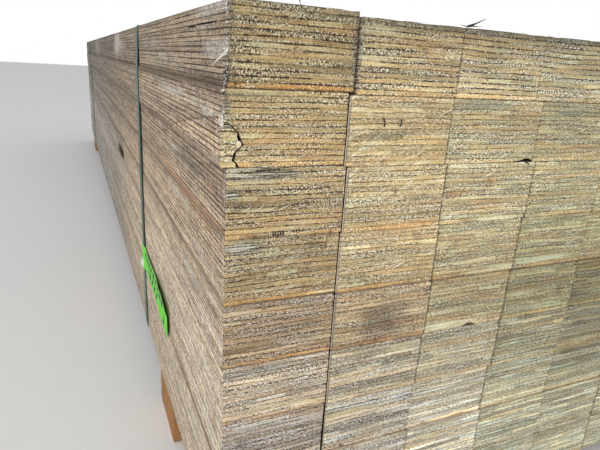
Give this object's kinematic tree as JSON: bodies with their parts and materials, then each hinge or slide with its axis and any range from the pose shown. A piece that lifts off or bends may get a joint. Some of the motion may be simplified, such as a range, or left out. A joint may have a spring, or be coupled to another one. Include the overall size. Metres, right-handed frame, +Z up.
{
  "type": "stack of laminated timber beams",
  "caption": "Strapped rectangular pack of laminated veneer timber beams lying flat on softwood bearers, with room under it for lifting forks.",
  "frame": {"origin": "centre of the pack's footprint on the floor, level with the undersides of the bearers", "axes": "+Y along the beams, away from the split corner; +X across the pack, away from the label; +Z up"},
  "size_m": [0.957, 2.4042, 0.4537],
  "materials": {
    "laminated_timber": "weathered laminated veneer timber, sawn ends, dull",
    "bearer_timber": "rough sawn softwood, dull",
    "strap_plastic": "embossed polyester strapping, slight sheen",
    "label_card": "fluorescent green card, matt"
  },
  "bodies": {
    "root": {"beam_layer_1": "laminated_timber", "beam_layer_2": "laminated_timber", "beam_layer_3": "laminated_timber", "beam_layer_4": "laminated_timber", "beam_layer_5": "laminated_timber", "beam_layer_6": "laminated_timber", "beam_layer_7": "laminated_timber", "beam_layer_8": "laminated_timber", "beam_layer_9": "laminated_timber", "front_bearer": "bearer_timber", "rear_bearer": "bearer_timber", "front_strap": "strap_plastic", "rear_strap": "strap_plastic", "label_card": "label_card"}
  },
  "joints": []
}
